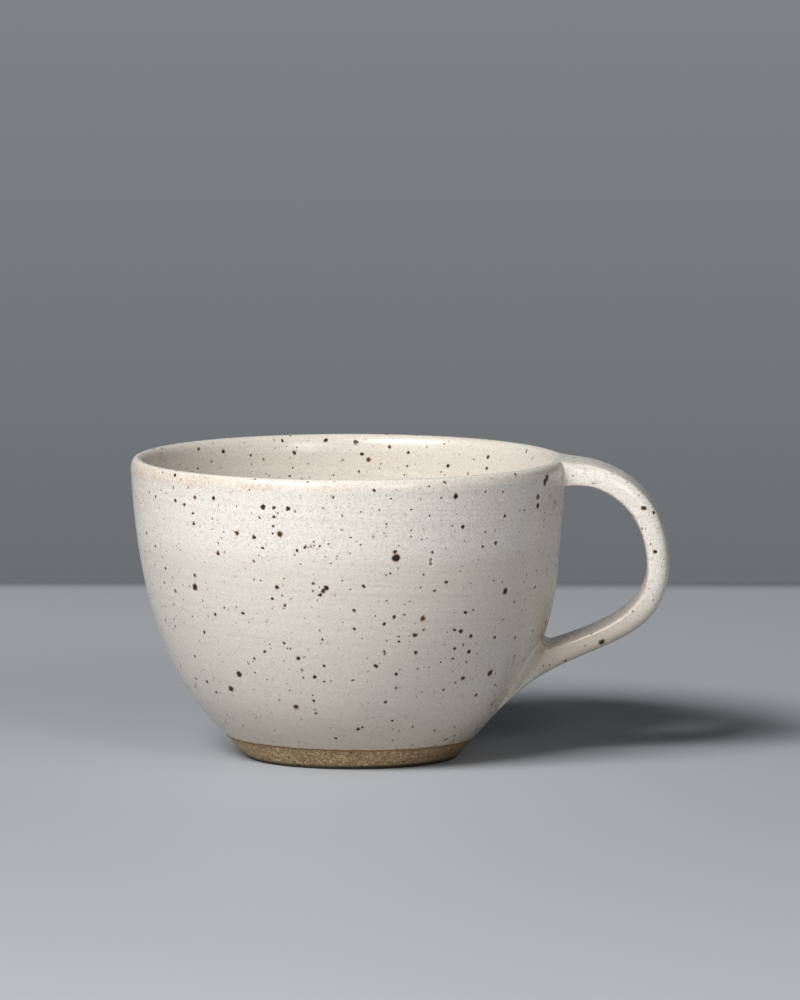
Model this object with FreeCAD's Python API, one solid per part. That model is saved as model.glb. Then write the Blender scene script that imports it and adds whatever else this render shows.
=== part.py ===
import FreeCAD, Part
import math
import os

# A wheel-thrown stoneware cup with a pulled strap handle, fired as one piece of clay.
# Sizes are in millimetres and angles in degrees. The cup stands on z = 0 with its axis on Z,
# and the handle points along +X.

# Bowl
cup_height = 76.2
rim_radius = 55.0
rim_lean = 2.3
rim_pull = 48.0
lip_thickness = 3.4
base_thickness = 6.0
floor_thickness = 5.0
floor_flat = 16.0

# Foot, left bare below the glaze line and trimmed hollow underneath
foot_radius = 26.5
foot_edge = 0.5
foot_band_height = 5.6
foot_band_lean = 40.0
foot_pull = 9.0
foot_ring_width = 5.0
recess_depth = 1.8
recess_slope = 45.0

# Handle: a pulled strap, flat inside and crowned outside
strap_width = 19.3
strap_thickness = 5.65
strap_crown = 1.1
inner_edge_radius = 0.9
outer_edge_radius = 2.4
handle_reach = 26.2
widest_rise = 20.0

# Upper root, level with the lip
upper_root_thickness = 6.4
upper_root_drop = 0.1
upper_root_flare = 2.0
upper_root_fillet = 1.2
upper_inner_rise = 10.8

# Lower root, smeared down the wall from a crease on its upper side
lower_root_height = 28.2
lower_root_stand_off = 3.0
lower_root_flare = 2.0
lower_root_fillet = 2.0
lower_inner_rise = 57.0
smear_end_rise = 4.6
smear_stand_off = 0.3
smear_crown = 5.0
smear_edge_radius = 9.0

# How far each guide curve holds its end direction, as a share of the span that it crosses
inner_hold_above = 0.82
inner_hold_below = 0.87
outer_hold_above = 0.73
outer_hold_below = 0.65
upper_inner_hold = 0.23
upper_outer_hold = 0.355
lower_inner_hold = 0.095
smear_hold = 0.63

up = FreeCAD.Vector(0, 0, 1)
outward = FreeCAD.Vector(1, 0, 0)
sideways = FreeCAD.Vector(0, 1, 0)


def section_point(radius, height):
    return FreeCAD.Vector(radius, 0, height)


def leaning(angle):
    # The direction of a wall that leans outward from upright by this angle.
    return outward * math.sin(math.radians(angle)) + up * math.cos(math.radians(angle))


def bezier(*poles):
    curve = Part.BezierCurve()
    curve.setPoles(list(poles))
    return curve


def line(start, end):
    return Part.makeLine(start, end)


def arc(start, middle, end):
    return Part.Arc(start, middle, end).toShape()


# Outline of the bowl's outside, from the top of the foot band to the lip
lip_radius = lip_thickness / 2
lip_centre = section_point(rim_radius - lip_radius, cup_height - lip_radius)
lip_crest = lip_centre + up * lip_radius
foot_band_rise = foot_band_height - foot_edge
glaze_line_radius = foot_radius + foot_band_rise * math.tan(math.radians(foot_band_lean))
glaze_line = section_point(glaze_line_radius, foot_band_height)
wall_top = lip_centre + outward * lip_radius
wall_outside = bezier(
    glaze_line,
    glaze_line + leaning(foot_band_lean) * foot_pull,
    wall_top - leaning(rim_lean) * rim_pull,
    wall_top,
)


def wall_point(height):
    # The outside of the bowl at a height between the glaze line and the lip.
    level = Part.Line(section_point(0, height), section_point(1, height))
    crossings = [section_point(place.X, height) for place in wall_outside.intersect(level)]
    return max(crossings, key=lambda place: place.x)


def wall_direction(height):
    # The direction of the wall, going up, at the same place.
    return wall_outside.tangent(wall_outside.parameter(wall_point(height)))[0]


def wall_inside_point(share):
    # The wall thins evenly from the base to the lip.
    at = wall_outside.value(share)
    along = wall_outside.tangent(share)[0]
    thickness = base_thickness + (lip_thickness - base_thickness) * share
    return at + FreeCAD.Vector(-along.z, 0, along.x) * thickness


def bowl_outline():
    # Half section of the bowl without its hollow: underside, foot, wall and the outer half of the lip.
    ring_inner = foot_radius - foot_edge - foot_ring_width
    recess_radius = ring_inner - recess_depth / math.tan(math.radians(recess_slope))
    corners = [
        section_point(0, recess_depth),
        section_point(recess_radius, recess_depth),
        section_point(ring_inner, 0),
        section_point(foot_radius - foot_edge, 0),
        section_point(foot_radius, foot_edge),
        glaze_line,
    ]
    edges = [line(a, b) for a, b in zip(corners, corners[1:])]
    lip_shoulder = lip_centre + leaning(45) * lip_radius
    edges.append(wall_outside.toShape())
    edges.append(arc(wall_top, lip_shoulder, lip_crest))
    edges.append(line(lip_crest, section_point(0, cup_height)))
    edges.append(line(section_point(0, cup_height), corners[0]))
    return Part.Wire(edges)


def hollow_outline(clear_height):
    # Half section of the hollow: floor, inside of the wall and the inner half of the lip.
    floor_height = recess_depth + floor_thickness
    wall_foot = wall_inside_point(0)
    wall_lean = wall_outside.tangent(0)[0]
    corner = wall_foot - wall_lean * ((wall_foot.z - floor_height) / wall_lean.z)
    floor_centre = section_point(0, floor_height)
    floor_edge = section_point(floor_flat, floor_height)
    floor_curve = bezier(floor_edge, corner, wall_foot)
    lip_inside = lip_centre - outward * lip_radius
    inside = Part.BSplineCurve()
    inside.interpolate(
        Points=[wall_inside_point(share) for share in (0, 0.2, 0.4, 0.6, 0.8)] + [lip_inside],
        InitialTangent=wall_lean,
        FinalTangent=leaning(rim_lean),
    )
    lip_shoulder = lip_centre + leaning(-45) * lip_radius
    clear_edge = section_point(lip_crest.x, clear_height)
    clear_centre = section_point(0, clear_height)
    edges = [
        line(floor_centre, floor_edge),
        floor_curve.toShape(),
        inside.toShape(),
        arc(lip_inside, lip_shoulder, lip_crest),
        line(lip_crest, clear_edge),
        line(clear_edge, clear_centre),
        line(clear_centre, floor_centre),
    ]
    return Part.Wire(edges)


def turned(outline):
    return Part.Face(outline).revolve(FreeCAD.Vector(0, 0, 0), up, 360)


def strap_section(inner_point, outer_point, half_width, crown, outer_radius):
    # A closed section across the strap, from its flat inner face to the crown of its outer face.
    thickness = (outer_point - inner_point).Length
    through = (outer_point - inner_point).normalize()
    crown_radius = (half_width ** 2 + crown ** 2) / (2 * crown)
    crown_centre = thickness - crown_radius
    edge_side = half_width - outer_radius
    edge_rise = math.sqrt((crown_radius - outer_radius) ** 2 - edge_side ** 2)
    edge_centre = crown_centre + edge_rise
    stretch = crown_radius / (crown_radius - outer_radius)
    crown_end = (edge_side * stretch, crown_centre + edge_rise * stretch)
    edge_angle = math.atan2(edge_rise, edge_side) / 2
    edge_middle = (
        edge_side + outer_radius * math.cos(edge_angle),
        edge_centre + outer_radius * math.sin(edge_angle),
    )
    edge_start = (half_width, edge_centre)
    flat_end = (half_width - inner_edge_radius, 0)
    inner_middle = (
        half_width - inner_edge_radius * (1 - math.sqrt(0.5)),
        inner_edge_radius * (1 - math.sqrt(0.5)),
    )
    inner_end = (half_width, inner_edge_radius)

    def at(place, side=1):
        return inner_point + sideways * place[0] * side + through * place[1]

    def edge(side):
        return [
            arc(at(flat_end, side), at(inner_middle, side), at(inner_end, side)),
            line(at(inner_end, side), at(edge_start, side)),
            arc(at(edge_start, side), at(edge_middle, side), at(crown_end, side)),
        ]

    flat = line(at(flat_end, -1), at(flat_end))
    top = arc(at(crown_end), at((0, thickness)), at(crown_end, -1))
    return Part.Wire(Part.sortEdges([flat] + edge(1) + [top] + edge(-1))[0])


def handle():
    # The strap is lofted between two guide curves that lie in the plane y = 0.
    crease = wall_point(lower_root_height) + outward * lower_root_stand_off
    widest_outer = section_point(rim_radius + handle_reach, lower_root_height + widest_rise)
    widest_inner = widest_outer - outward * strap_thickness
    upper_outer = section_point(rim_radius, cup_height - upper_root_drop)
    upper_inner = upper_outer - up * upper_root_thickness
    smear_height = foot_band_height + smear_end_rise
    smear_end = wall_point(smear_height) + outward * smear_stand_off
    inner_reach = widest_inner.x - upper_inner.x
    outer_reach = widest_outer.x - upper_outer.x
    upper_guides = (
        bezier(
            upper_inner,
            upper_inner + leaning(90 - upper_inner_rise) * inner_reach * upper_inner_hold,
            widest_inner + up * (upper_inner.z - widest_inner.z) * inner_hold_above,
            widest_inner,
        ),
        bezier(
            upper_outer,
            upper_outer + outward * outer_reach * upper_outer_hold,
            widest_outer + up * (upper_outer.z - widest_outer.z) * outer_hold_above,
            widest_outer,
        ),
    )
    lower_guides = (
        bezier(
            widest_inner,
            widest_inner - up * (widest_inner.z - crease.z) * inner_hold_below,
            crease + leaning(90 - lower_inner_rise) * (widest_inner.x - crease.x) * lower_inner_hold,
            crease,
        ),
        bezier(
            widest_outer,
            widest_outer - up * (widest_outer.z - smear_end.z) * outer_hold_below,
            smear_end + wall_direction(smear_height) * (widest_outer.x - smear_end.x) * smear_hold,
            smear_end,
        ),
    )

    def station(guides, share, spread, flare, crown, outer_radius):
        return (
            guides[0].value(share),
            guides[1].value(share),
            strap_width / 2 + flare * spread,
            strap_crown + (crown - strap_crown) * spread,
            outer_edge_radius + (outer_radius - outer_edge_radius) * spread,
        )

    upper_root = (upper_root_flare, strap_crown, outer_edge_radius)
    lower_root = (lower_root_flare, smear_crown, smear_edge_radius)
    stations = []
    for share, spread in ((0, 1), (0.12, 0.35), (0.28, 0), (0.5, 0), (0.75, 0)):
        stations.append(station(upper_guides, share, spread, *upper_root))
    for share, spread in ((0, 0), (0.25, 0), (0.5, 0), (0.68, 0.08), (0.84, 0.4), (1, 1)):
        stations.append(station(lower_guides, share, spread, *lower_root))

    # Both ends go on into the wall, where the hollow of the bowl trims them.
    def buried(place, move):
        return (place[0] + move, place[1] + move) + place[2:]

    along_wall = wall_direction(smear_height)
    into_wall = FreeCAD.Vector(-along_wall.z, 0, along_wall.x) * base_thickness
    stations.insert(0, buried(stations[0], outward * -base_thickness))
    stations.append(buried(stations[-1], into_wall))
    return Part.makeLoft([strap_section(*place) for place in stations], True, False, False, 5)


def root_edges(shape, lowest, highest):
    # The edges where the handle meets the outside of the bowl, between two heights.
    found = []
    for edge in shape.Edges:
        lengths = [edge.Length * share for share in (0, 0.25, 0.5, 0.75, 1)]
        places = [edge.valueAt(edge.getParameterByLength(length)) for length in lengths]
        if all(lowest < place.z < highest and place.x > 0 for place in places):
            gaps = [abs(math.hypot(place.x, place.y) - wall_point(place.z).x) for place in places]
            if max(gaps) < 0.02:
                found.append(edge)
    return found


# The bowl is turned so that the seam of its surfaces lies away from the handle.
bowl = turned(bowl_outline())
bowl.rotate(FreeCAD.Vector(0, 0, 0), up, 180)
hollow = turned(hollow_outline(cup_height + 10))
body = bowl.fuse(handle()).removeSplitter()
between_roots = lower_root_height + widest_rise
body = body.makeFillet(lower_root_fillet, root_edges(body, foot_band_height, between_roots))
body = body.makeFillet(upper_root_fillet, root_edges(body, between_roots, wall_top.z))
cup = body.cut(hollow)
os.makedirs("parts", exist_ok=True)
cup.exportStep("parts/cup.step")
print("solids", len(cup.Solids), "valid", cup.isValid(), "volume", round(cup.Volume), "box", cup.BoundBox)
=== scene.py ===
import bpy, bmesh
import numpy as np
from math import sin, cos, tan, atan2, radians, degrees, hypot, pi
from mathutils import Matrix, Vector


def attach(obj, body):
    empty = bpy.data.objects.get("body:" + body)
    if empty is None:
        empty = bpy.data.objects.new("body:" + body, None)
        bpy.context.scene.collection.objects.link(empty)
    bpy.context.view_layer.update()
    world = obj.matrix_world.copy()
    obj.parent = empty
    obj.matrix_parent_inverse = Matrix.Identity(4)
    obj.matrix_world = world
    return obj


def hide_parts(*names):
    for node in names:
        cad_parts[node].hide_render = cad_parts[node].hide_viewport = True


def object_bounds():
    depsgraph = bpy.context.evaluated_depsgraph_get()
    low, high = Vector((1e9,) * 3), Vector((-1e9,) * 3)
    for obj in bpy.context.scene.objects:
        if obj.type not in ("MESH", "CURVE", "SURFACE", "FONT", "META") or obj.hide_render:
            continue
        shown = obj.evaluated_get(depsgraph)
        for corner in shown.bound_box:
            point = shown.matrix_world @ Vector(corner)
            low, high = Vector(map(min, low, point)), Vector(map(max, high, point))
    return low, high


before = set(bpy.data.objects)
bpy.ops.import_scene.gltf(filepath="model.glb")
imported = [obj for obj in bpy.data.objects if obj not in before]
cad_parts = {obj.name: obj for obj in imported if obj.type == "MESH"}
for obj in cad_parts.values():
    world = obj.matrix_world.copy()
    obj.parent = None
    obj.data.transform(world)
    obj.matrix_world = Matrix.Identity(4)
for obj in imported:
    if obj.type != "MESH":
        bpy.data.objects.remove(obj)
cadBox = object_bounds()
print("frame loaded")


# small helpers for working by hand in edit mode

def deselectEverything():
    if bpy.context.object and bpy.context.object.mode != "OBJECT":
        bpy.ops.object.mode_set(mode="OBJECT")
    bpy.ops.object.select_all(action="DESELECT")


def startEditing(piece):
    deselectEverything()
    piece.select_set(True)
    bpy.context.view_layer.objects.active = piece
    bpy.ops.object.mode_set(mode="EDIT")
    bpy.ops.mesh.select_mode(type="VERT")


def pickVerts(piece, wanted):
    bpy.ops.mesh.select_mode(type="VERT")
    bpy.ops.mesh.select_all(action="DESELECT")
    cage = bmesh.from_edit_mesh(piece.data)
    for vert in cage.verts:
        if wanted(vert.co):
            vert.select_set(True)
    cage.select_flush(True)
    bmesh.update_edit_mesh(piece.data)


def pickFaces(piece, wanted):
    bpy.ops.mesh.select_mode(type="FACE")
    bpy.ops.mesh.select_all(action="DESELECT")
    cage = bmesh.from_edit_mesh(piece.data)
    for face in cage.faces:
        if wanted(face.calc_center_median()):
            face.select_set(True)
    bmesh.update_edit_mesh(piece.data)


def pickEdges(piece, wanted):
    bpy.ops.mesh.select_mode(type="EDGE")
    bpy.ops.mesh.select_all(action="DESELECT")
    cage = bmesh.from_edit_mesh(piece.data)
    for edge in cage.edges:
        if wanted(edge):
            edge.select_set(True)
    bmesh.update_edit_mesh(piece.data)


def movePicked(x=0, y=0, z=0):
    bpy.ops.transform.translate(value=(x, y, z))


def scalePicked(x, y, z, about):
    bpy.ops.transform.resize(value=(x, y, z), center_override=about)


def turnPicked(angle, axis, about):
    # with no window the operator turns the other way
    bpy.ops.transform.rotate(value=-angle, orient_axis=axis, center_override=about)


def addModifier(piece, kind, **settings):
    deselectEverything()
    piece.select_set(True)
    bpy.context.view_layer.objects.active = piece
    bpy.ops.object.modifier_add(type=kind)
    modifier = piece.modifiers[-1]
    for name, value in settings.items():
        setattr(modifier, name, value)
    bpy.ops.object.modifier_apply(modifier=modifier.name)


# curves that the bowl and the strap follow, in the plane y = 0

halvings = 40      # steps of a search by halving


def leaning(angle):
    return Vector((sin(radians(angle)), 0, cos(radians(angle))))  # outward from upright


def onCurve(poles, share):
    a, b, c, d = poles
    rest = 1 - share
    return a * rest ** 3 + b * 3 * share * rest ** 2 + c * 3 * share ** 2 * rest + d * share ** 3


def alongCurve(poles, share):
    a, b, c, d = poles
    rest = 1 - share
    return ((b - a) * rest ** 2 + (c - b) * 2 * share * rest + (d - c) * share ** 2).normalized()


def shareAtHeight(poles, height):
    low, high = 0, 1
    for halving in range(halvings):
        middle = (low + high) / 2
        low, high = (middle, high) if onCurve(poles, middle).z < height else (low, middle)
    return low


def heldOut(points, sharp=1, rounds=1):
    # subdivision pulls a cage inwards, so each point after the sharp ones is moved out by what it will lose
    out = list(points)
    for turn in range(rounds):
        threes = list(zip(out[sharp - 1:], out[sharp:], out[sharp + 1:]))
        for i, (before, point, after) in enumerate(threes):
            reached = (before + 4 * point + after) / 6
            out[sharp + i] = point + points[sharp + i] - reached
    return out


# the thrown bowl

bowl = {
    "height": cadBox[1][2],
    "rimRadius": -cadBox[0][0],
    "rimLean": 2.3,
    "rimPull": 0.048,
    "lipThickness": 0.0034,
    "lipOutside": 0.0016,      # from the outside to the crest
    "lipRise": 0.0027,         # height over which the lip rounds outside
    "lipTurn": 0.0019,         # and how soon it turns down inside,
    "lipBevel": 0.0068,        # into a bevel of this depth
    "lipEase": 0.0036,
    "lipSwell": 0.0007,        # the wall under the bevel is this much thicker than the lip
    "rimKept": 0.00001,        # these two keep the subdivided lip inside the cup's true radius
    "lipKept": 0.0001,         # and height
    "baseThickness": 0.006,
    "floorHeight": 0.0068,
    "floorFlat": 0.016,
    "footRadius": 0.0267,
    "footEdge": 0.0003,
    "bandFrom": 0.0005,        # the band leans out from this height
    "footRing": 0.005,
    "recessDepth": 0.0018,
    "bandHeight": 0.0056,      # bare clay up to here
    "bandLean": 43.8,
    "footPull": 0.009,
    "columns": 32,
    "rounding": 3,             # subdivision levels of the whole cup
    "strapColumn": 6.5,        # degrees between the closer columns that carry the strap,
    "strapColumns": 2,         # so many of them to each side of its middle
    "bulge": 0.0021,           # the wall was pushed out between the handle's roots
    "bulgeTop": 0.06,
    "footShift": 0.0009,       # the foot is a little off centre, towards the handle
    "footShiftTop": 0.022,
}

picking = {                    # how near its nominal place a point of the cage has to lie to be picked
    "row": 0.0007,
    "skin": 0.0015,
    "ringRadius": 0.0006,
    "ringHeight": 0.0003,
    "column": 0.03,            # in narrow columns
}

lipRadius = bowl["lipThickness"] / 2
lipCentre = Vector((bowl["rimRadius"] - lipRadius, 0, bowl["height"] - lipRadius))
bandRise = bowl["bandHeight"] - bowl["bandFrom"]
glazeLine = Vector((bowl["footRadius"] + bandRise * tan(radians(bowl["bandLean"])), 0, bowl["bandHeight"]))
wallTop = lipCentre + Vector((lipRadius, 0, 0))
wallCurve = (
    glazeLine,
    glazeLine + leaning(bowl["bandLean"]) * bowl["footPull"],
    wallTop - leaning(bowl["rimLean"]) * bowl["rimPull"],
    wallTop,
)


def wallRadius(height):
    return onCurve(wallCurve, shareAtHeight(wallCurve, height)).x


def insidePoint(share):
    along = alongCurve(wallCurve, share)
    top = bowl["lipThickness"] + bowl["lipSwell"]
    thickness = bowl["baseThickness"] + (top - bowl["baseThickness"]) * share
    return onCurve(wallCurve, share) + Vector((-along.z, 0, along.x)) * thickness


def lipStations():
    # round outside, then a bevel that eases into the wall inside
    crestRadius = bowl["rimRadius"] - bowl["rimKept"] - bowl["lipOutside"]
    crest = Vector((crestRadius, 0, bowl["height"] - bowl["lipKept"]))
    outside = []
    for angle in (0, 45):
        turn = radians(angle)
        outside.append(crest + Vector((cos(turn) * bowl["lipOutside"], 0, (sin(turn) - 1) * bowl["lipRise"])))
    share = shareAtHeight(wallCurve, bowl["height"] - bowl["lipBevel"])
    end = insidePoint(share)
    easing = alongCurve(wallCurve, share) * bowl["lipEase"]
    bevel = (crest, crest - Vector((bowl["lipTurn"], 0, 0)), end + easing, end)
    return outside + [onCurve(bevel, part) for part in (0, 0.25, 0.5, 0.75, 1)]


lowerRows = (0.0095, 0.015, 0.0205, 0.026, 0.0318)      # wall rows that the handle's lower root takes,
middleRows = (0.0375, 0.0435, 0.05, 0.0565, 0.063)      # rows between the roots
upperRows = (0.0685, 0.0718)                            # and rows of its upper root, up to the lip's crest
insideShares = (0.88, 0.73, 0.58, 0.44, 0.31, 0.19, 0.08)


def footRingRadii():
    outer = bowl["footRadius"] - bowl["footEdge"]
    return outer, outer - bowl["footRing"]


def bowlStations():
    ringOuter, ringInner = footRingRadii()
    foot = [(ringInner - bowl["recessDepth"], bowl["recessDepth"]), (ringInner, 0), (ringOuter, 0)]
    foot.append((bowl["footRadius"], bowl["footEdge"]))
    stations = [Vector((radius, 0, height)) for radius, height in foot]
    stations.append((stations[-1] + glazeLine) / 2)
    stations.append(glazeLine)
    stations += [Vector((wallRadius(height), 0, height)) for height in lowerRows + middleRows + upperRows]
    stations += lipStations()
    stations += [insidePoint(share) for share in insideShares]
    inside = insidePoint(0)
    lean = alongCurve(wallCurve, 0)
    corner = inside - lean * ((inside.z - bowl["floorHeight"]) / lean.z)
    floorEdge = Vector((bowl["floorFlat"], 0, bowl["floorHeight"]))
    floorCurve = (inside, inside.lerp(corner, 2 / 3), floorEdge.lerp(corner, 2 / 3), floorEdge)
    stations += [onCurve(floorCurve, share) for share in (0, 0.5, 1)]
    return stations


def atRow(place, height):
    return abs(place.z - height) < picking["row"]


def columnsAway(place):
    # from the handle's middle, in narrow columns
    return abs(degrees(atan2(place.y, place.x))) / bowl["strapColumn"]


def onStrapSide(place):
    return columnsAway(place) < bowl["strapColumns"] + picking["column"]


def onOutside(place):
    if place.z > wallTop.z:
        return hypot(place.x, place.y) > lipCentre.x
    return hypot(place.x, place.y) > wallRadius(place.z) - picking["skin"]


def throwBowl():
    stations = heldOut(bowlStations(), 4, 5)             # the foot's rings are creased
    first = stations[0]
    deselectEverything()
    bpy.ops.mesh.primitive_circle_add(vertices=bowl["columns"], radius=first.x, location=(0, 0, first.z))
    piece = bpy.context.object
    piece.name = "thrownCup"
    bpy.ops.object.transform_apply(location=True, rotation=True, scale=True)
    startEditing(piece)
    spreadColumns(piece, first)
    bpy.ops.mesh.select_all(action="SELECT")
    for before, after in zip(stations, stations[1:]):
        growth = after.x / before.x
        bpy.ops.mesh.extrude_region_move(TRANSFORM_OT_translate={"value": (0, 0, after.z - before.z)})
        scalePicked(growth, growth, 1, (0, 0, after.z))
    closeRing(stations[-1].z)                                   # the floor inside
    within = first.x + picking["row"]
    pickVerts(piece, lambda place: atRow(place, first.z) and hypot(place.x, place.y) < within)
    closeRing(first.z)                                          # the recess underneath
    return piece


def spreadColumns(piece, first):
    # four narrow columns face the handle and the others share out the rest of the circle
    cage = bmesh.from_edit_mesh(piece.data)
    cage.verts.ensure_lookup_table()
    order = sorted(range(bowl["columns"]), key=lambda i: atan2(cage.verts[i].co.y, cage.verts[i].co.x))
    angles = [atan2(cage.verts[i].co.y, cage.verts[i].co.x) for i in order]
    half, narrow = bowl["columns"] // 2, bowl["strapColumns"]
    wide = (180 - narrow * bowl["strapColumn"]) / (half - narrow)

    def newAngle(number):
        side = min(abs(number), narrow) * bowl["strapColumn"] + max(abs(number) - narrow, 0) * wide
        return radians(side if number >= 0 else -side)

    for index, angle in zip(order, angles):
        number = round(angle / (2 * pi) * bowl["columns"])
        target = newAngle(number)
        gapBefore, gapAfter = target - newAngle(number - 1), newAngle(number + 1) - target
        bpy.ops.mesh.select_all(action="DESELECT")
        cage = bmesh.from_edit_mesh(piece.data)
        cage.verts.ensure_lookup_table()
        cage.verts[index].select_set(True)
        bmesh.update_edit_mesh(piece.data)
        turnPicked(target - angle, "Z", (0, 0, first.z))
        if abs(number) == half:
            gapBefore = gapAfter = radians(wide)
        keep = 6 / (4 + cos(gapBefore) + cos(gapAfter))
        scalePicked(keep, keep, 1, (0, 0, first.z))


def closeRing(height):
    bpy.ops.mesh.extrude_region_move()
    scalePicked(0.5, 0.5, 1, (0, 0, height))
    bpy.ops.mesh.extrude_region_move()
    bpy.ops.mesh.merge(type="CENTER")


def pushWallOut(piece):
    # the wall is fuller between the handle's roots
    lowest = lowerRows[-1]
    for row in (lowest,) + middleRows[:-1]:
        pickVerts(piece, lambda place: onStrapSide(place) and atRow(place, row) and onOutside(place))
        away = (row - lowest) / (bowl["bulgeTop"] - lowest)
        movePicked(x=bowl["bulge"] * (1 - away * away * (3 - 2 * away)))


def shiftFoot(piece):
    for row in (0, bowl["recessDepth"], bowl["bandHeight"] / 2, bowl["bandHeight"]) + lowerRows[:3]:
        pickVerts(piece, lambda place: atRow(place, row) and not insideBowl(place))
        movePicked(x=bowl["footShift"] * (1 - row / bowl["footShiftTop"]))


def insideBowl(place):
    aboveBase = place.z > bowl["recessDepth"] * 2
    return aboveBase and hypot(place.x, place.y) < wallRadius(place.z) - bowl["lipThickness"]


# the pulled strap

strap = {
    "halfWidth": 0.00965,
    "thickness": 0.00565,
    "reach": 0.0262,
    "widestHeight": 0.0496,        # outside; a little lower inside
    "widestInnerDrop": 0.0014,
    "innerSpread": 1.4,            # keeps the inner edges crisp
    "cornerDrop": 0.07,            # of the thickness, as the other drops of the section are
    "cornerWidth": 0.85,           # of the width, so that the side faces roll over outwards
    "crown": 0.008,
    "shoulderWidth": 1.06,
    "rollDrop": 0.05,
    "rollWidth": 0.95,
    "middleWidth": 0.985,
    "upperCrease": 0.36,           # the outer edge stays crisper near the lip
    "edgeWidth": 0.78,             # of the half width, past which a point is on an edge
    "edgeReach": 0.0006,
    "upperThickness": 0.0062,
    "upperDrop": 0.00014,
    "upperFlare": 0.0004,
    "upperFlareEnd": 0.3,          # of the way to the widest place
    "upperTuck": 1.7,              # degrees by which the upper opening is narrower than its columns
    "upperFillet": 0.0006,
    "jointDepth": 0.0021,
    "jointCrease": 0.6,
    "upperInnerRise": 9,
    "upperInnerPull": 0.0048,      # pulls and bends are the lengths of the handles of the strap's four curves
    "upperInnerBend": 0.0191,
    "upperOuterPull": 0.0088,
    "upperOuterBend": 0.0212,
    "creaseHeight": 0.0279,
    "creaseStandOff": 0.003,
    "lowerInnerRise": 57,
    "lowerInnerBend": 0.0147,
    "lowerInnerPull": 0.0025,
    "lowerOuterBend": 0.0246,
    "lowerOuterPull": 0.027,
    "lowerOuterHollow": 0.0009,    # the outside curves in a little above the smear
    "lowerFlare": 0.0016,
    "lowerFlareFrom": 0.6,
    "lowerFillet": 0.0016,
    "smearHeight": 0.0102,
    "smearStandOff": 0.0003,
}

widestOuter = Vector((bowl["rimRadius"] + strap["reach"], 0, strap["widestHeight"]))
widestInner = widestOuter - Vector((strap["thickness"], 0, strap["widestInnerDrop"]))
upperOuter = Vector((bowl["rimRadius"], 0, bowl["height"] - strap["upperDrop"]))
upperInner = upperOuter - Vector((0, 0, strap["upperThickness"]))
crease = Vector((wallRadius(strap["creaseHeight"]) + strap["creaseStandOff"], 0, strap["creaseHeight"]))
smearEnd = Vector((wallRadius(strap["smearHeight"]) + strap["smearStandOff"], 0, strap["smearHeight"]))
smearWay = alongCurve(wallCurve, shareAtHeight(wallCurve, strap["smearHeight"]))
smearHollow = Vector((-1, 0, 1)) * strap["lowerOuterHollow"]
upperInnerCurve = (
    upperInner,
    upperInner + leaning(90 - strap["upperInnerRise"]) * strap["upperInnerPull"],
    widestInner + Vector((0, 0, strap["upperInnerBend"])),
    widestInner,
)
upperOuterCurve = (
    upperOuter,
    upperOuter + Vector((strap["upperOuterPull"], 0, 0)),
    widestOuter + Vector((0, 0, strap["upperOuterBend"])),
    widestOuter,
)
lowerInnerCurve = (
    widestInner,
    widestInner - Vector((0, 0, strap["lowerInnerBend"])),
    crease + leaning(90 - strap["lowerInnerRise"]) * strap["lowerInnerPull"],
    crease,
)
lowerOuterCurve = (
    widestOuter,
    widestOuter - Vector((0, 0, strap["lowerOuterBend"])),
    smearEnd + smearWay * strap["lowerOuterPull"] + smearHollow,
    smearEnd,
)
upperShares = (0.13, 0.28, 0.45, 0.63, 0.82)
lowerShares = (0, 0.15, 0.3, 0.44, 0.57, 0.69, 0.79, 0.88)


def strapStations():
    inner = [onCurve(upperInnerCurve, share) for share in upperShares]
    inner += [onCurve(lowerInnerCurve, share) for share in lowerShares]
    outer = [onCurve(upperOuterCurve, share) for share in upperShares]
    outer += [onCurve(lowerOuterCurve, share) for share in lowerShares]
    flares = [strap["upperFlare"] * max(0, 1 - share / strap["upperFlareEnd"]) for share in upperShares]
    for share in lowerShares:
        flared = max(0, share - strap["lowerFlareFrom"]) / (1 - strap["lowerFlareFrom"])
        flares.append(strap["lowerFlare"] * flared ** 1.5)
    widths = [strap["halfWidth"] + flare for flare in flares]
    return heldOut(inner), heldOut(outer), widths


def pullStrap():
    inner, outer, widths = strapStations()
    middles = [(a + b) / 2 for a, b in zip(inner, outer)]
    across = [b - a for a, b in zip(inner, outer)]
    angles = [atan2(way.z, way.x) for way in across]
    piece = strapSection(across[0].length, widths[0])
    turnPicked(-angles[0], "Y", (0, 0, 0))
    movePicked(*middles[0])
    for i in range(1, len(middles)):
        bpy.ops.mesh.extrude_region_move(TRANSFORM_OT_translate={"value": middles[i] - middles[i - 1]})
        turnPicked(angles[i - 1] - angles[i], "Y", middles[i])
        thicker = across[i].length / across[i - 1].length
        scalePicked(thicker, widths[i] / widths[i - 1], thicker, middles[i])
    creaseAlong(piece, outer[:len(upperShares)], strap["upperCrease"])
    return piece


def creaseAlong(piece, path, amount):
    # the two outer edges of the strap that run along a path
    def onEdge(vert):
        flat = Vector((vert.co.x, 0, vert.co.z))
        near = min((flat - place).length for place in path) < strap["edgeReach"]
        return near and abs(vert.co.y) > strap["halfWidth"] * strap["edgeWidth"]

    pickEdges(piece, lambda edge: onEdge(edge.verts[0]) and onEdge(edge.verts[1]))
    bpy.ops.transform.edge_crease(value=amount)


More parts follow.
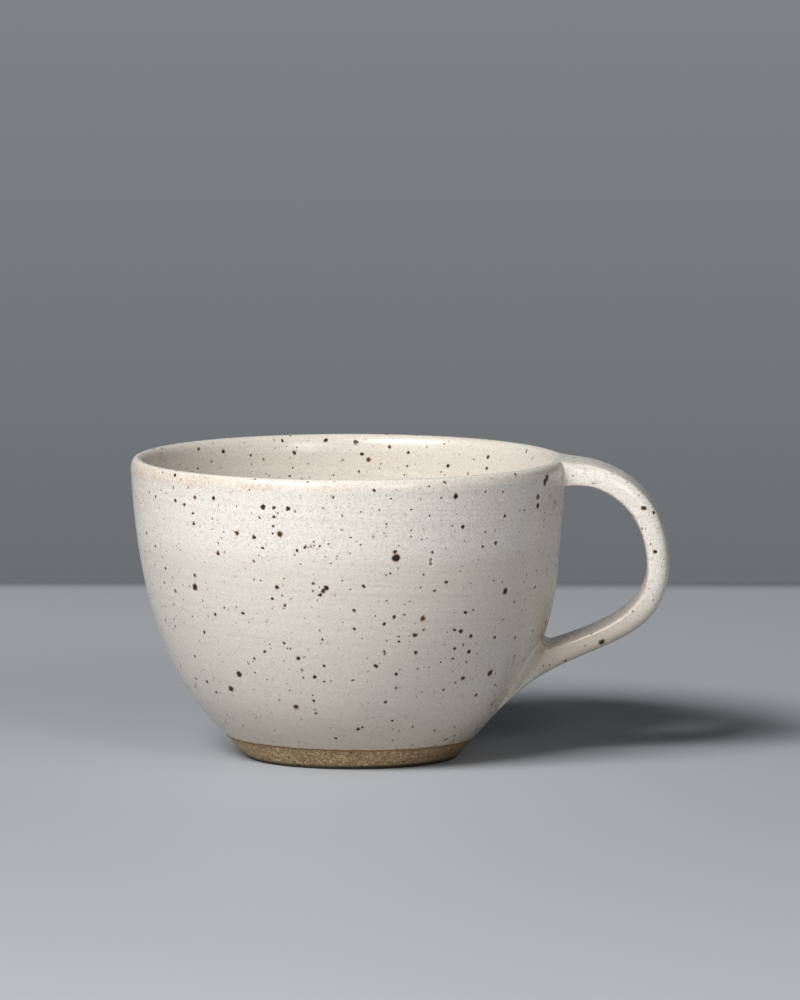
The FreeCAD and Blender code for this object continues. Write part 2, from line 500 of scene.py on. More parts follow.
def strapSection(thickness, halfWidth):
    # laid flat at first: x runs from the flat inner face to the crowned outer one
    deselectEverything()
    bpy.ops.mesh.primitive_plane_add(size=1)
    piece = bpy.context.object
    piece.name = "pulledStrap"
    startEditing(piece)
    bpy.ops.mesh.select_all(action="SELECT")
    bpy.ops.mesh.delete(type="ONLY_FACE")
    bpy.ops.mesh.select_all(action="SELECT")
    bpy.ops.mesh.subdivide(number_cuts=3)
    scalePicked(thickness, 2 * halfWidth, 1, (0, 0, 0))

    def shapePoints(outward, sideways, drop=0, width=1):
        # the section has five points along each side, counted from its middle: -2 is inside and 2 outside
        pickVerts(piece, lambda place: round(place.x / thickness * 4) == outward
                  and abs(round(place.y / halfWidth * 2)) == sideways)
        movePicked(x=-thickness * drop)
        scalePicked(1, width, 1, (0, 0, 0))

    shapePoints(-2, 1, width=strap["innerSpread"])
    shapePoints(2, 2, strap["cornerDrop"], strap["cornerWidth"])
    shapePoints(2, 1, strap["crown"], strap["shoulderWidth"])
    shapePoints(2, 0, -strap["crown"])
    shapePoints(1, 2, strap["rollDrop"], strap["rollWidth"])
    shapePoints(0, 2, width=strap["middleWidth"])
    bpy.ops.mesh.select_all(action="SELECT")
    return piece


def openRoots(piece):
    # the wall under each root is inset, for a short soft joint, and opened
    lower = (lowerRows[0], lowerRows[-1], strap["lowerFillet"])
    upper = (upperRows[0], bowl["height"], strap["upperFillet"])
    for low, high, fillet in (lower, upper):
        pickFaces(piece, lambda place: onStrapSide(place) and onOutside(place)
                  and low < place.z < high + picking["row"])
        bpy.ops.mesh.inset(thickness=fillet)
        bpy.ops.mesh.delete(type="FACE")
    for side in (1, -1):
        pickVerts(piece, lambda place: place.y * side > 0 and onUpperJoint(place))
        turnPicked(-side * radians(strap["upperTuck"]), "Z", (0, 0, 0))


def joinStrap(piece, handle):
    deselectEverything()
    handle.select_set(True)
    piece.select_set(True)
    bpy.context.view_layer.objects.active = piece
    bpy.ops.object.join()
    startEditing(piece)
    middle = strap["widestHeight"]
    for above, cuts in ((True, 0), (False, 1)):
        pickEdges(piece, lambda edge: edge.is_boundary and (edge.verts[0].co.z > middle) == above)
        bpy.ops.mesh.bridge_edge_loops(number_cuts=cuts, interpolation="LINEAR")
    pickEdges(piece, lambda edge: all(onUpperJoint(vert.co) for vert in edge.verts))
    bpy.ops.transform.edge_crease(value=strap["jointCrease"])
    bpy.ops.mesh.select_all(action="SELECT")
    bpy.ops.mesh.normals_make_consistent(inside=False)


def onUpperJoint(place):
    # the crisp line where the strap's sides meet the wall
    outside = hypot(place.x, place.y) > bowl["rimRadius"] - strap["jointDepth"]
    return (outside and abs(place.y) > strap["halfWidth"] and upperRows[0] < place.z
            and columnsAway(place) < bowl["strapColumns"] - picking["column"])


def creaseRings(piece):
    def onRing(place, radius, height):
        away = abs(hypot(place.x - bowl["footShift"], place.y) - radius)
        return away < picking["ringRadius"] and abs(place.z - height) < picking["ringHeight"]

    ringOuter, ringInner = footRingRadii()
    rings = (                  # radius, height and crease of each
        (ringInner - bowl["recessDepth"], bowl["recessDepth"], 0.5),
        (ringInner, 0, 1),
        (ringOuter, 0, 1),
        (bowl["footRadius"], bowl["footEdge"], 0.9),
    )
    for radius, height, amount in rings:
        pickEdges(piece, lambda edge: all(onRing(vert.co, radius, height) for vert in edge.verts))
        bpy.ops.transform.edge_crease(value=amount)


def measureFromInnerEdge(piece):
    # how far each point is from the strap's two inner edges, for the thin line of glaze along them
    places = np.empty(len(piece.data.vertices) * 3)
    piece.data.vertices.foreach_get("co", places)
    places = places.reshape(-1, 3)
    steps, farthest = 60, 0.005
    curves = (upperInnerCurve, lowerInnerCurve)
    edge = [onCurve(poles, step / steps) for poles in curves for step in range(steps + 1)]
    away = np.full(len(places), farthest)
    for point in edge:
        flat = np.hypot(places[:, 0] - point.x, places[:, 2] - point.z)
        away = np.minimum(away, np.hypot(flat, np.abs(places[:, 1]) - strap["halfWidth"]))
    measured = piece.data.attributes.new("fromInnerEdge", "FLOAT", "POINT")
    measured.data.foreach_set("value", away.astype(np.float32))


def makeCup():
    piece = throwBowl()
    pushWallOut(piece)
    shiftFoot(piece)
    openRoots(piece)
    handle = pullStrap()
    joinStrap(piece, handle)
    creaseRings(piece)
    print("cage faces", len(bmesh.from_edit_mesh(piece.data).faces))
    bpy.ops.mesh.select_mode(type="VERT")
    bpy.ops.mesh.select_all(action="DESELECT")
    bpy.ops.mesh.select_non_manifold()
    print("open points", sum(vert.select for vert in bmesh.from_edit_mesh(piece.data).verts))
    addModifier(piece, "SUBSURF", levels=bowl["rounding"], render_levels=bowl["rounding"])
    measureFromInnerEdge(piece)
    deselectEverything()
    piece.select_set(True)
    bpy.ops.object.shade_smooth()
    return piece


cup = makeCup()
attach(cup, "root")
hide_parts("cup")
print("cup modelled", len(cup.data.polygons), "faces")


# small helpers for building materials and node groups

def newMaterial(name):
    material = bpy.data.materials.new(name)
    material.use_nodes = True
    return material, material.node_tree


def addNode(tree, kind):
    return tree.nodes.new("ShaderNode" + kind)


def splitPlace(tree):
    # where a point is on its piece, whole and by axis
    place = addNode(tree, "TexCoord").outputs["Object"]
    split = addNode(tree, "SeparateXYZ")
    feed(tree, split.inputs[0], place)
    return place, split.outputs


def feed(tree, socket, value):
    if isinstance(value, bpy.types.NodeSocket):
        tree.links.new(value, socket)
    elif value is not None:
        socket.default_value = (*value, 1) if socket.type == "RGBA" and len(value) == 3 else value


def calc(tree, operation, a, b=None, c=None):
    node = addNode(tree, "Math")
    node.operation = operation
    for socket, value in zip(node.inputs, (a, b, c)):
        feed(tree, socket, value)
    return node.outputs[0]


def product(tree, first, *others):
    for factor in others:
        first = calc(tree, "MULTIPLY", first, factor)
    return first


def vectorCalc(tree, operation, a, b=None, scale=None):
    node = addNode(tree, "VectorMath")
    node.operation = operation
    feed(tree, node.inputs[0], a)
    feed(tree, node.inputs[1], b)
    if scale is not None:
        feed(tree, node.inputs["Scale"], scale)
    return node.outputs["Value" if operation in ("LENGTH", "DISTANCE") else "Vector"]


def combine(tree, x=None, y=None, z=None):
    node = addNode(tree, "CombineXYZ")
    for socket, value in zip(node.inputs, (x, y, z)):
        feed(tree, socket, value)
    return node.outputs[0]


def fade(tree, value, start, end, low=0.0, high=1.0):
    node = addNode(tree, "MapRange")
    node.interpolation_type = "SMOOTHSTEP"
    for socket, amount in zip(node.inputs, (value, start, end, low, high)):
        feed(tree, socket, amount)
    return node.outputs[0]


def blend(tree, share, a, b):
    node = addNode(tree, "Mix")
    node.data_type = "RGBA"
    feed(tree, node.inputs[0], share)
    feed(tree, node.inputs[6], a)
    feed(tree, node.inputs[7], b)
    return node.outputs[2]


def noise(tree, vector, size, detail=3.0, rough=0.5, output="Fac"):
    node = addNode(tree, "TexNoise")
    feed(tree, node.inputs["Vector"], vector)
    node.inputs["Scale"].default_value = 1 / size
    node.inputs["Detail"].default_value = detail
    node.inputs["Roughness"].default_value = rough
    return node.outputs[output]


def cloud(tree, vector, size, rough, start, end, detail=3.0, least=0.0, most=1.0):
    # a noise pattern that fades from its least share to its most
    return fade(tree, noise(tree, vector, size, detail, rough), start, end, least, most)


def newGroup(name, inputs, outputs):
    # a socket named vector or place is a vector, and any other a number
    tree = bpy.data.node_groups.new(name, "ShaderNodeTree")
    for labels, way in ((inputs, "INPUT"), (outputs, "OUTPUT")):
        for label in labels:
            kind = "NodeSocketVector" if label in ("vector", "place") else "NodeSocketFloat"
            tree.interface.new_socket(label, in_out=way, socket_type=kind)
    return tree, tree.nodes.new("NodeGroupInput").outputs, tree.nodes.new("NodeGroupOutput").inputs


def useGroup(tree, group, **values):
    node = addNode(tree, "Group")
    node.node_tree = group
    for label, value in values.items():
        feed(tree, node.inputs[label], value)
    return node.outputs


def flecksGroup():
    # scattered flecks: one at most in each cell, of uneven size, some cells empty
    inputs, outputs = ("vector", "cell", "radius", "amount"), ("fleck", "core", "halo", "chance")
    tree, given, out = newGroup("scatteredFlecks", inputs, outputs)
    voronoi = addNode(tree, "TexVoronoi")
    feed(tree, voronoi.inputs["Vector"], given["vector"])
    feed(tree, voronoi.inputs["Scale"], calc(tree, "DIVIDE", 1.0, given["cell"]))
    split = addNode(tree, "SeparateColor")
    feed(tree, split.inputs[0], voronoi.outputs["Color"])
    away = calc(tree, "MULTIPLY", voronoi.outputs["Distance"], given["cell"])
    least = 0.3                # of the radius; most flecks are small
    spread = calc(tree, "MULTIPLY_ADD", calc(tree, "POWER", split.outputs["Red"], 2.0), 1 - least, least)
    reach = calc(tree, "MULTIPLY", given["radius"], spread)
    here = calc(tree, "LESS_THAN", split.outputs["Green"], given["amount"])
    for name, start, end in (("fleck", 0.75, 1.05), ("core", 0.6, 0.9), ("halo", 0.9, 1.4)):
        start, end = calc(tree, "MULTIPLY", reach, start), calc(tree, "MULTIPLY", reach, end)
        feed(tree, out[name], calc(tree, "MULTIPLY", fade(tree, away, start, end, 1.0, 0.0), here))
    feed(tree, out["chance"], split.outputs["Blue"])
    return tree


def spotGroup():
    # one placed spot: how far away it is in its own radii, or the nearest so far
    tree, given, out = newGroup("placedSpot", ("vector", "place", "radius", "nearest"), ("nearest",))
    away = vectorCalc(tree, "DISTANCE", given["vector"], given["place"])
    away = calc(tree, "DIVIDE", away, given["radius"])
    feed(tree, out["nearest"], calc(tree, "MINIMUM", away, given["nearest"]))
    return tree


# the camera stands as it did for the photograph

camera = {
    "azimuth": 1.0,
    "distance": 2.8,
    "height": 0.3833,
    "lens": 401.5,
    "sensor": 36,
    "pictureWidth": 800,
    "pictureHeight": 1000,
    "aimAcross": 0.01302,
    "aimHeight": 0.06504,
    "farthest": 20,
}


def cameraStand():
    turn = radians(camera["azimuth"])
    place = Vector((camera["distance"] * sin(turn), -camera["distance"] * cos(turn), camera["height"]))
    aim = Vector((camera["aimAcross"] * cos(turn), camera["aimAcross"] * sin(turn), camera["aimHeight"]))
    return place, (aim - place).to_track_quat("-Z", "Y")


# the glaze and the bare clay under it; a fade is where it starts and ends, then its share at each end

glaze = {
    "white": (0.85, 0.802, 0.728),
    "warm": (0.85, 0.784, 0.698),
    "cool": (0.8, 0.77, 0.722),
    "lower": (0.705, 0.66, 0.6),        # darker down the wall
    "lowerFade": (0.062, 0.018, 0, 0.8),
    "insideShade": (0.6, 0.54, 0.455),      # painted shade inside the cup; the same darker tint lies outside below the lip
    "insideShadeShare": 0.42,
    "fullFade": (-0.0004, 0.0006),      # out from the lip's centre: full near the lip and on the handle
    "grain": (0.42, 0.375, 0.32),
    # pale flecks, and the painted highlight ring round a pit
    "pale": (0.9, 0.88, 0.84),
    "paleShare": 0.8,
    "iron": (0.009, 0.006, 0.005),
    "rust": (0.13, 0.05, 0.018),
    "ember": (0.36, 0.19, 0.08),        # the thin orange fringe of a spot
    "hazeShare": 0.6,
    "fleckShare": 0.92,
    "fringeShare": 0.3,
    "rustyChance": (0.1, 0.25, 0.3),    # some flecks stay rusty in the middle
    "backFade": (-0.02, 0.005),         # the front has the placed spots instead of the large flecks
    "sand": (0.6, 0.475, 0.34),         # thin glaze over the lip
    "sandyFrom": 0.0725,                # its lower edge at the axis; it climbs towards the handle
    "sandyClimb": 0.012,
    "sandySoft": 0.0016,
    "sandyTop": (0.0761, 0.0752),
    "sandyEase": (-0.035, 0.03, 1, 0.5),    # it is fainter on the handle's side
    "thin": (0.54, 0.455, 0.36),        # near the foot, where the clay shows through, and darker there as painted shade
    "thinTop": 0.021,
    "thinShare": 0.7,
    "strapShadeFrom": (0.046, 0.049),        # and as painted shade on the lower strap and its root
    "strapShadeFade": (0.05, 0.024, 0, 0.8),
    "worn": (0.36, 0.24, 0.14),         # along the strap's inner edges
    "wornFade": (0.0001, 0.0011, 1, 0),
    "wornShare": 0.65,
    "pit": (0.24, 0.165, 0.085),
    "pitSlope": (0.2, 1.1),             # in radii, as the next one is
    "spotEdge": (0.8, 1.1),
    "spotDullness": 0.2,
    "roughness": 0.28,
    "sheenDrift": 0.12,
    "lineDrop": 0.75,                   # degrees that the glaze line falls towards the handle
    "lineWander": 0.00035,
    "wanderSize": 0.007,
    "lineSoft": 0.00012,
    "lineFade": (0.0001, 0.0011, 0.55, 0),
    "raggedSize": 0.0009,
    "raggedness": 0.0011,
    "ringTilt": 0.05,
}

clay = {
    "brown": (0.66, 0.47, 0.262),
    "deep": (0.33, 0.21, 0.11),
    "pale": (0.85, 0.73, 0.55),
    "paleShare": 0.85,
    "dark": (0.05, 0.03, 0.017),
    "shade": (0.24, 0.155, 0.08),
    "toastAndShade": (0.2, 0.105, 0.05),        # toasted where the glaze ends, and painted shade on the handle's side of the foot
    "toastFade": (-0.0009, -0.0001, 0, 0.85),
    "handleSideShadeFade": (0.008, 0.03, 0, 0.55),
    "foot": (0.03, 0.02, 0.012),        # painted shade along the edge that it stands on
    "standingEdgeShadeFade": (0.0005, 0.0014, 0.95, 0),
    "roughness": 0.9,
}

# noise patterns: the size of each in metres, and the range of noise over which it fades in or out
clouds = {
    "drift": {"size": 0.016, "rough": 0.55, "start": 0.4, "end": 0.62},
    "mottle": {"size": 0.0014, "rough": 0.6, "start": 0.42, "end": 0.66, "most": 0.55},
    "grain": {"size": 0.0005, "rough": 0.7, "start": 0.34, "end": 0.56, "least": 0.52, "most": 0},
    "streak": {"size": 0.0013, "rough": 0.6, "start": 0.4, "end": 0.68, "most": 0.16},
    "sandyPatch": {"size": 0.01, "detail": 2, "rough": 0.5, "start": 0.36, "end": 0.6, "least": 0.4},
    "sandyGrain": {"size": 0.00042, "rough": 0.7, "start": 0.42, "end": 0.6},
    "worn": {"size": 0.0009, "rough": 0.7, "start": 0.42, "end": 0.6, "least": 0.15},
    "clay": {"size": 0.0011, "rough": 0.65, "start": 0.36, "end": 0.64},
    "clayShade": {"size": 0.00045, "rough": 0.75, "start": 0.4, "end": 0.54, "least": 1, "most": 0},
}

# scattered flecks: the size of a cell, the largest radius in it and the share of cells that have one
flecks = {
    "pale": {"cell": 0.0017, "radius": 0.0004, "amount": 0.5},
    "haze": {"cell": 0.0011, "radius": 0.00022, "amount": 0.8},
    "small": {"cell": 0.0015, "radius": 0.00031, "amount": 0.6},
    "medium": {"cell": 0.0025, "radius": 0.00058, "amount": 0.68},
    "large": {"cell": 0.0046, "radius": 0.0008, "amount": 0.75},
    "holes": {"cell": 0.007, "radius": 0.00045, "amount": 0.5},
    "grog": {"cell": 0.0008, "radius": 0.0003, "amount": 0.8},
    "clayPits": {"cell": 0.0013, "radius": 0.0004, "amount": 0.6},
}

# relief: the size of each unevenness and its height, in metres
reliefs = {
    "rings": {"size": 0.004, "detail": 2, "height": 0.000016},
    "waves": {"size": 0.004, "detail": 0, "height": 0.000007},
    "peel": {"size": 0.0008, "detail": 0, "height": 0.000001},
    "clayGrit": {"size": 0.0004, "rough": 0.7, "height": 0.00012},
    "clayRings": {"size": 0.0006, "detail": 2, "rough": 0.6, "height": 0.00008},
    "fleck": 0.00001,
    "hole": -0.00005,
    "pit": -0.0002,
    "glazeEdge": 0.0002,
}

# rings of each kind of placed spot, from the outside in: the part of its radius over which a ring fades out,
# the ring's share and its colour
spotRings = (
    # the pit's outer pale ring is a painted highlight on its rim
    ("pit", 1.1, 1.8, 0.6, "pale"),
    ("pit", 0.5, 1.0, 0.9, "pit"),
    ("iron", 1.0, 1.6, 0.6, "ember"),
    ("iron", 0.9, 1.2, 0.9, "rust"),
    ("iron", 0.8, 1.05, 1, "iron"),
    ("rust", 0.95, 1.7, 0.75, "ember"),
    ("rust", 0.8, 1.15, 1, "rust"),
    ("rust", 0.5, 0.85, 0.95, "iron"),
)

# the placed spots, read one by one: the pixel of the 800 x 1000 photograph that shows each, its radius,
# what carries it and its kind
largeSpots = {
    "centre": ((396, 558), 0.00095, "wall", "iron"),
    "farLeft": ((195, 587), 0.0008, "wall", "iron"),
    "slantUpper": ((326, 588), 0.0006, "wall", "iron"),
    "slantMiddle": ((323, 591), 0.0005, "wall", "iron"),
    "slantLower": ((320, 595), 0.00045, "wall", "iron"),
    "underRimLeft": ((263, 507), 0.0006, "wall", "iron"),
    "underRimNext": ((288, 509), 0.0005, "wall", "iron"),
    "upperLeft": ((254, 537), 0.0005, "wall", "iron"),
    "upperLeftRust": ((237, 533), 0.00055, "wall", "rust"),
    "upperCross": ((280, 534), 0.0007, "wall", "rust"),
    "middleLeft": ((277, 587), 0.0005, "wall", "iron"),
    "underRimRight": ((456, 496), 0.0006, "wall", "iron"),
    "besideHandle": ((545, 482), 0.0009, "wall", "iron"),
    "besideHandleNext": ((547, 478), 0.0008, "wall", "iron"),
    "middleRight": ((505, 591), 0.00075, "wall", "iron"),
    "lowerRight": ((490, 673), 0.00085, "wall", "iron"),
    "lowestRight": ((491, 704), 0.0005, "wall", "iron"),
    "middleRust": ((415, 635), 0.0006, "wall", "rust"),
    "middleRustNext": ((423, 619), 0.0006, "wall", "rust"),
    "lowerLeft": ((239, 674), 0.00075, "wall", "iron"),
    "lowerLeftNext": ((231, 689), 0.00075, "wall", "iron"),
    "lowerLeftRust": ((296, 707), 0.00065, "wall", "rust"),
    "lowerCentre": ((376, 666), 0.0005, "wall", "iron"),
    "pairLeft": ((297, 551), 0.0004, "wall", "iron"),
    "pairRight": ((305, 547), 0.00035, "wall", "iron"),
    "upperMiddle": ((274, 517), 0.00038, "wall", "iron"),
    "rustLeft": ((218, 553), 0.00055, "wall", "rust"),
    "rimRight": ((492, 478), 0.00045, "wall", "iron"),
    "nearHandleUpper": ((538, 497), 0.0006, "wall", "iron"),
    "nearHandleLower": ((538, 506), 0.0006, "wall", "iron"),
    "rightOfCentre": ((463, 527), 0.0004, "wall", "iron"),
    "lowPairLeft": ((461, 631), 0.0005, "wall", "iron"),
    "lowPairRight": ((471, 636), 0.0005, "wall", "iron"),
    "lowPairUnder": ((469, 652), 0.0005, "wall", "iron"),
    "underPair": ((463, 678), 0.00055, "wall", "rust"),
    "lowLeftSmall": ((298, 658), 0.00055, "wall", "iron"),
    "aboveFoot": ((358, 729), 0.0005, "wall", "iron"),
    "crater": ((431, 560), 0.00062, "wall", "pit"),
    "craterLower": ((431, 564), 0.00062, "wall", "pit"),
    "insideLeft": ((198, 449), 0.00045, "inside", "iron"),
    "insideBack": ((356, 442), 0.0006, "inside", "iron"),
    "strapBend": ((644, 508), 0.0006, "strap", "iron"),
    "strapUnder": ((602, 643), 0.0008, "strap", "iron"),
    "insideMark": ((326, 440), 0.0005, "inside", "iron"),
}


def seenAt(pixel, isPast, near, far):
    # follows the line of sight through a pixel to where it meets what carries the spot
    place, turn = cameraStand()
    step = camera["sensor"] / camera["lens"] / camera["pictureHeight"]
    right = pixel[0] - camera["pictureWidth"] / 2
    up = camera["pictureHeight"] / 2 - pixel[1]
    way = turn @ Vector((right * step, up * step, -1))
    for halving in range(halvings):
        middle = (near + far) / 2
        near, far = (near, middle) if isPast(place + way * middle) else (middle, far)
    return place + way * near


def onCarrier(pixel, carrier):
    axis = cameraStand()[0].length
    reach = bowl["rimRadius"] + strap["reach"]
    if carrier == "wall":
        return seenAt(pixel, lambda point: hypot(point.x, point.y) < wallRadius(point.z), axis - reach, axis)
    if carrier == "inside":
        inner = bowl["rimRadius"] - bowl["lipThickness"]
        return seenAt(pixel, lambda point: hypot(point.x, point.y) > inner, axis, axis + reach)
    side = strap["halfWidth"] * strap["middleWidth"]
    return seenAt(pixel, lambda point: point.y > -side, axis - reach, axis + reach)


def nearestSpot(tree, group, vector, kind):
    nearest = 99.0
    for pixel, radius, carrier, spotKind in largeSpots.values():
        if spotKind == kind:
            spot = {"place": onCarrier(pixel, carrier), "radius": radius}
            nearest = useGroup(tree, group, vector=vector, nearest=nearest, **spot)["nearest"]
    return nearest


def surfacePlaces(tree):
    # the place itself, its three parts, the place made ragged, and its height alone, for throwing rings
    place, (across, depth, height) = splitPlace(tree)
    ragged = noise(tree, place, glaze["raggedSize"], detail=2, rough=0.6, output="Color")
    ragged = vectorCalc(tree, "SUBTRACT", ragged, (0.5, 0.5, 0.5))
    ragged = vectorCalc(tree, "ADD", place, vectorCalc(tree, "SCALE", ragged, scale=glaze["raggedness"]))
    level = combine(tree, z=calc(tree, "MULTIPLY_ADD", across, glaze["ringTilt"], height))
    parts = {"across": across, "depth": depth, "height": height}
    return {"place": place, "ragged": ragged, "level": level, **parts}


def paintWhite(tree, at, group, fullWhite):
    # the white of the glaze drifts between warm and cool, with a grey grain and pale flecks
    place = at["place"]
    colour = blend(tree, cloud(tree, place, **clouds["drift"]), glaze["white"], glaze["warm"])
    colour = blend(tree, cloud(tree, place, **clouds["mottle"]), colour, glaze["cool"])
    colour = blend(tree, fade(tree, at["height"], *glaze["lowerFade"]), colour, glaze["lower"])
    colour = blend(tree, cloud(tree, place, **clouds["grain"]), colour, glaze["grain"])
    pale = useGroup(tree, group, vector=at["ragged"], **flecks["pale"])["fleck"]
    colour = blend(tree, product(tree, pale, glaze["paleShare"]), colour, glaze["pale"])
    # painted shade inside the cup, and the same darker tint outside below the lip
    insideShade = product(tree, calc(tree, "SUBTRACT", 1.0, fullWhite), glaze["insideShadeShare"])
    colour = blend(tree, insideShade, colour, glaze["insideShade"])
    return blend(tree, cloud(tree, at["level"], **clouds["streak"]), colour, glaze["grain"])


def paintThinGlaze(tree, at, colour, fullWhite):
    # sandy on the outer edge of the lip, clay showing through near the foot, darkened there as painted shade,
    # and painted shade on the lower strap and its root
    low = calc(tree, "MULTIPLY_ADD", at["across"], glaze["sandyClimb"], glaze["sandyFrom"])
    sandy = product(tree, fade(tree, calc(tree, "SUBTRACT", at["height"], low), 0, glaze["sandySoft"]),
                    fade(tree, at["height"], *glaze["sandyTop"]), fullWhite,
                    fade(tree, at["across"], *glaze["sandyEase"]),
                    cloud(tree, at["place"], **clouds["sandyPatch"]),
                    cloud(tree, at["place"], **clouds["sandyGrain"]))
    colour = blend(tree, sandy, colour, glaze["sand"])
    # thin glaze near the foot, darkened as painted shade too
    footwards = fade(tree, at["height"], bowl["bandHeight"], glaze["thinTop"], glaze["thinShare"], 0)
    colour = blend(tree, footwards, colour, glaze["thin"])
    # painted shade on the lower strap and its root
    strapShade = product(tree, fade(tree, at["across"], *glaze["strapShadeFrom"]),
                      fade(tree, at["height"], *glaze["strapShadeFade"]))
    return blend(tree, strapShade, colour, glaze["thin"])


def paintFlecks(tree, at, colour, group):
    # iron: a haze of tiny specks and scattered flecks, some with a rusty middle
    sizes = dict(flecks)
    onlyBack = fade(tree, at["depth"], *glaze["backFade"], 0, flecks["large"]["amount"])
    sizes["large"] = {**flecks["large"], "amount": onlyBack}
    haze = useGroup(tree, group, vector=at["ragged"], **sizes["haze"])["fleck"]
    colour = blend(tree, product(tree, haze, glaze["hazeShare"]), colour, glaze["rust"])
    for name in ("small", "medium", "large"):
        fleck = useGroup(tree, group, vector=at["ragged"], **sizes[name])
        dark = product(tree, fleck["core"], fade(tree, fleck["chance"], *glaze["rustyChance"]))
        colour = blend(tree, product(tree, fleck["halo"], glaze["fringeShare"]), colour, glaze["ember"])
        colour = blend(tree, product(tree, fleck["fleck"], glaze["fleckShare"]), colour, glaze["rust"])
        colour = blend(tree, dark, colour, glaze["iron"])
    return colour


def paintWear(tree, at, colour):
    # the strap's inner edges, where the glaze ran thin
    edge = addNode(tree, "Attribute")
    edge.attribute_name = "fromInnerEdge"
    worn = product(tree, fade(tree, edge.outputs["Fac"], *glaze["wornFade"]),
                   cloud(tree, at["place"], **clouds["worn"]), glaze["wornShare"])
    return blend(tree, worn, colour, glaze["worn"])


def aboveGlazeLine(tree, at):
    # bare clay starts below a wandering line that falls towards the handle
    wander = noise(tree, at["place"], glaze["wanderSize"], rough=0.6)
    lowest = bowl["bandHeight"] - glaze["lineWander"]
    line = calc(tree, "MULTIPLY_ADD", wander, 2 * glaze["lineWander"], lowest)
    line = calc(tree, "MULTIPLY_ADD", at["across"], -tan(radians(glaze["lineDrop"])), line)
    return calc(tree, "SUBTRACT", at["height"], line)


def paintClay(tree, at, group, above):
    colour = blend(tree, cloud(tree, at["place"], **clouds["clay"]), clay["brown"], clay["deep"])
    colour = blend(tree, cloud(tree, at["place"], **clouds["clayShade"]), colour, clay["shade"])
    grog = useGroup(tree, group, vector=at["ragged"], **flecks["grog"])["fleck"]
    colour = blend(tree, product(tree, grog, clay["paleShare"]), colour, clay["pale"])
    pits = useGroup(tree, group, vector=at["ragged"], **flecks["clayPits"])["fleck"]
    colour = blend(tree, pits, colour, clay["dark"])
    # painted shade: the clay darker towards the handle's side
    colour = blend(tree, fade(tree, at["across"], *clay["handleSideShadeFade"]), colour, clay["toastAndShade"])
    # painted shade along the edge that it stands on
    colour = blend(tree, fade(tree, at["height"], *clay["standingEdgeShadeFade"]), colour, clay["foot"])
    return blend(tree, fade(tree, above, *clay["toastFade"]), colour, clay["toastAndShade"])


def raiseSurface(tree, at, group, bare, pit):
    # heights in metres, all for one bump
    def uneven(name, place, under=0.0):
        relief = dict(reliefs[name])
        rise = relief.pop("height")
        return calc(tree, "MULTIPLY_ADD", noise(tree, at[place], **relief), rise, under)

    height = uneven("peel", "place", uneven("waves", "place", uneven("rings", "level")))
    for name, rise in (("medium", "fleck"), ("holes", "hole")):
        fleck = useGroup(tree, group, vector=at["ragged"], **flecks[name])["fleck"]
        height = calc(tree, "MULTIPLY_ADD", fleck, reliefs[rise], height)
    height = calc(tree, "ADD", height, fade(tree, pit, *glaze["pitSlope"], reliefs["pit"], 0))
    glazed = calc(tree, "SUBTRACT", 1.0, bare)
    height = calc(tree, "MULTIPLY_ADD", glazed, reliefs["glazeEdge"], height)
    turned = uneven("clayRings", "level", uneven("clayGrit", "place"))
    height = calc(tree, "MULTIPLY_ADD", turned, bare, height)
    bump = addNode(tree, "Bump")
    bump.inputs["Distance"].default_value = 1
    feed(tree, bump.inputs["Height"], height)
    return bump.outputs[0]


def mixGlaze():
    material, tree = newMaterial("speckledGlaze")
    shader = tree.nodes["Principled BSDF"]
    at = surfacePlaces(tree)
    group, spot = flecksGroup(), spotGroup()
    radius = vectorCalc(tree, "LENGTH", combine(tree, at["across"], at["depth"]))
    fullWhite = fade(tree, radius, *(lipCentre.x + away for away in glaze["fullFade"]))
    colour = paintWhite(tree, at, group, fullWhite)
    colour = paintThinGlaze(tree, at, colour, fullWhite)
    colour = paintFlecks(tree, at, colour, group)
    nearest = {kind: nearestSpot(tree, spot, at["ragged"], kind) for kind in ("iron", "rust")}
    nearest["pit"] = nearestSpot(tree, spot, at["place"], "pit")
    for kind, start, end, share, name in spotRings:
        colour = blend(tree, fade(tree, nearest[kind], start, end, share, 0), colour, glaze[name])
    colour = paintWear(tree, at, colour)
    above = aboveGlazeLine(tree, at)
    bare = fade(tree, above, -glaze["lineSoft"], glaze["lineSoft"], 1, 0)
    colour = blend(tree, fade(tree, above, *glaze["lineFade"]), colour, glaze["sand"])
    colour = blend(tree, bare, colour, paintClay(tree, at, group, above))
    feed(tree, shader.inputs["Base Color"], colour)
    mottle = noise(tree, at["place"], clouds["mottle"]["size"], rough=clouds["mottle"]["rough"])
    leastRough = glaze["roughness"] - glaze["sheenDrift"] / 2
    sheen = calc(tree, "MULTIPLY_ADD", mottle, glaze["sheenDrift"], leastRough)
    dull = fade(tree, nearest["iron"], *glaze["spotEdge"], glaze["spotDullness"], 0)
    sheen = calc(tree, "ADD", sheen, dull)
    sheen = calc(tree, "MAXIMUM", sheen, product(tree, bare, clay["roughness"]))
    feed(tree, shader.inputs["Roughness"], sheen)
    feed(tree, shader.inputs["Normal"], raiseSurface(tree, at, group, bare, nearest["pit"]))
    return material


cup.data.materials.append(mixGlaze())
print("glaze mixed")


# table, backdrop, lamps and camera

